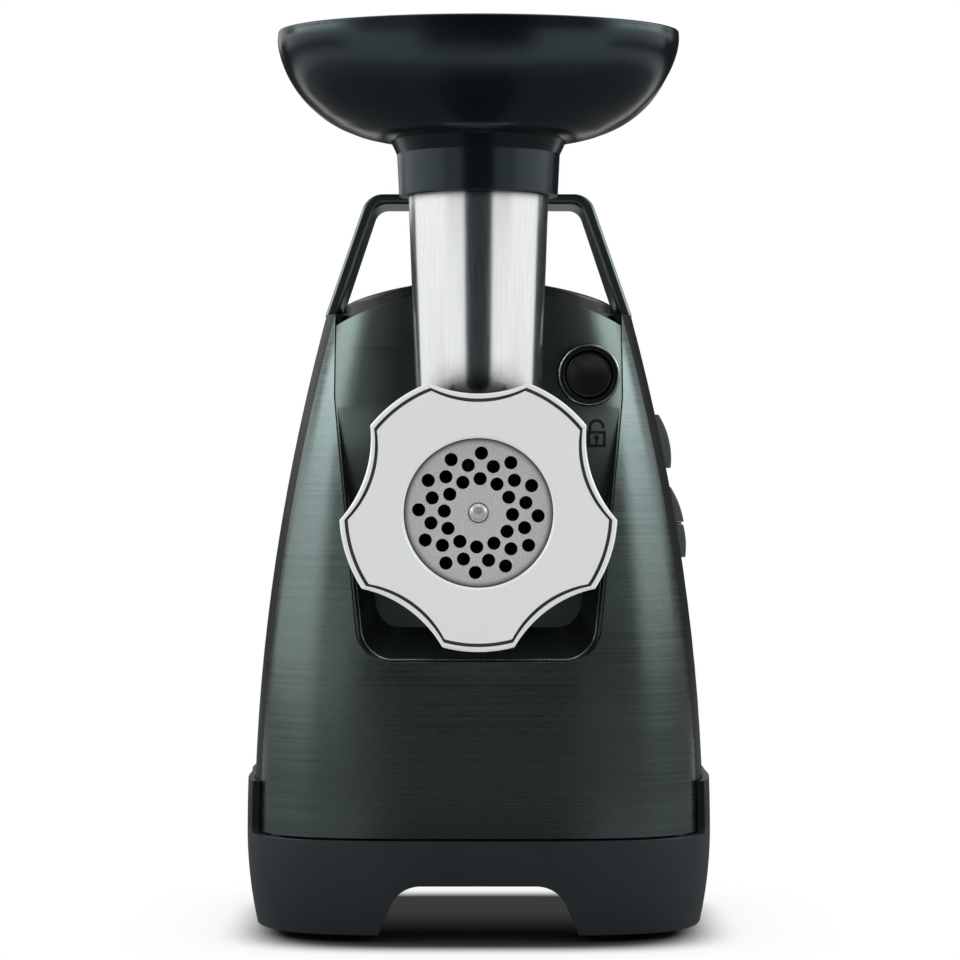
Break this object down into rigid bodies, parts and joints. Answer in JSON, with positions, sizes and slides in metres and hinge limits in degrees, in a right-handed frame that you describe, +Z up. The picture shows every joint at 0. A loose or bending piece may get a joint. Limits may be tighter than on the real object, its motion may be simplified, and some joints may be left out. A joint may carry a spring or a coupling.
{
  "type": "electric meat grinder",
  "caption": "Electric meat grinder: hopper tray on a steel feed tube, screw-fed grinding head with perforated plate and lobed ring nut, geared motor in a tapered body with carry handle.",
  "frame": {"origin": "centre of the footprint on the floor, under the feet", "axes": "+Z up, -Y out of the cutting plate, +X to the side with the push buttons"},
  "size_m": [0.1916, 0.245, 0.3575],
  "materials": {
    "tray_plastic": "polished black moulding",
    "front_panel": "gunmetal with fine level brush lines",
    "shell_plastic": "dark satin moulding",
    "inset_plastic": "dark polished moulding",
    "base_plastic": "dark fine-grained moulding",
    "head_aluminium": "satin cast",
    "tube_steel": "polished with fine level lines",
    "tool_steel": "ground",
    "button_plastic": "polished black moulding",
    "bezel_trim": "dark bright trim",
    "socket_plastic": "glass-filled nylon",
    "gear_steel": "machined",
    "case_aluminium": "die cast",
    "bush_bronze": "sintered bronze",
    "lamination": "stacked sheet",
    "copper": "enamelled wire",
    "carbon": "graphite",
    "rubber_black": "moulded rubber",
    "screw_steel": "zinc plated",
    "board": "switch board"
  },
  "bodies": {
    "body": {"front_shell": "front_panel", "rear_shell": "shell_plastic", "top_cover": "shell_plastic", "carry_handle": "shell_plastic", "inset_panel": "inset_plastic", "base": "base_plastic", "grinder_head": "head_aluminium", "feed_tube": "tube_steel", "cutting_plate": "tool_steel", "lock_bezel": "bezel_trim", "head_socket": "socket_plastic", "brush_holders": "socket_plastic", "idler_pin": "gear_steel", "gear_case": "case_aluminium", "gear_case_cover": "case_aluminium", "motor_end_bracket": "case_aluminium", "screw_bush": "bush_bronze", "output_bush": "bush_bronze", "output_rear_bush": "bush_bronze", "motor_front_bush": "bush_bronze", "motor_rear_bush": "bush_bronze", "stator": "lamination", "field_coils": "copper", "carbon_brushes": "carbon", "feet": "rubber_black", "motor_cradle": "rubber_black", "cord_gland": "rubber_black", "base_screws": "screw_steel", "socket_screws": "screw_steel", "gear_case_screws": "screw_steel", "bracket_screws": "screw_steel", "lock_spring": "screw_steel", "reverse_spring": "screw_steel", "on_spring": "screw_steel", "off_spring": "screw_steel", "switch_board": "board"},
    "driveline": {"output_shaft": "gear_steel", "output_gear": "gear_steel", "drive_coupling": "socket_plastic", "feed_screw": "head_aluminium", "cross_knife": "tool_steel"},
    "idler": {"idler_gear": "socket_plastic", "idler_pinion": "gear_steel"},
    "rotor": {"motor_shaft": "gear_steel", "motor_pinion": "gear_steel", "armature": "lamination", "commutator": "copper", "cooling_fan": "socket_plastic"},
    "ring_nut": {"ring_nut": "head_aluminium"},
    "tray": {"tray": "tray_plastic"},
    "lock_button": {"lock_button": "button_plastic"},
    "reverse_button": {"reverse_button": "button_plastic"},
    "on_button": {"on_button": "button_plastic"},
    "off_button": {"off_button": "button_plastic"}
  },
  "joints": [
    {"name": "feed_screw_spin", "type": "hinge", "parent": "body", "child": "driveline", "pos_m": [0, 0, 0.1707], "axis": [0, 1, 0], "continuous": true},
    {"name": "idler_spin", "type": "hinge", "parent": "body", "child": "idler", "pos_m": [-0.00942, 0, 0.12734], "axis": [0, 1, 0], "continuous": true},
    {"name": "motor_spin", "type": "hinge", "parent": "body", "child": "rotor", "pos_m": [0, 0, 0.08795], "axis": [0, 1, 0], "continuous": true},
    {"name": "ring_nut_turn", "type": "hinge", "parent": "body", "child": "ring_nut", "pos_m": [0, 0, 0.1707], "axis": [0, -1, 0], "range_deg": [0, 540]},
    {"name": "tray_lift", "type": "slide", "parent": "body", "child": "tray", "axis": [0, 0, 1], "range_m": [0, 0.07]},
    {"name": "lock_press", "type": "slide", "parent": "body", "child": "lock_button", "axis": [0, 1, 0], "range_m": [0, 0.006], "stiffness_N_per_m": 500, "springref_m": -0.0036, "deforming": ["lock_spring"]},
    {"name": "reverse_press", "type": "slide", "parent": "body", "child": "reverse_button", "axis": [-1, 0, 0], "range_m": [0, 0.0025], "stiffness_N_per_m": 800, "springref_m": -0.0015, "deforming": ["reverse_spring"]},
    {"name": "on_press", "type": "slide", "parent": "body", "child": "on_button", "axis": [-1, 0, 0], "range_m": [0, 0.0025], "stiffness_N_per_m": 800, "springref_m": -0.0015, "deforming": ["on_spring"]},
    {"name": "off_press", "type": "slide", "parent": "body", "child": "off_button", "axis": [-1, 0, 0], "range_m": [0, 0.0025], "stiffness_N_per_m": 800, "springref_m": -0.0015, "deforming": ["off_spring"]}
  ],
  "couplings": [
    {"joint": "idler_spin", "follows": "feed_screw_spin", "ratio": -5.4545},
    {"joint": "motor_spin", "follows": "feed_screw_spin", "ratio": 34.711}
  ]
}
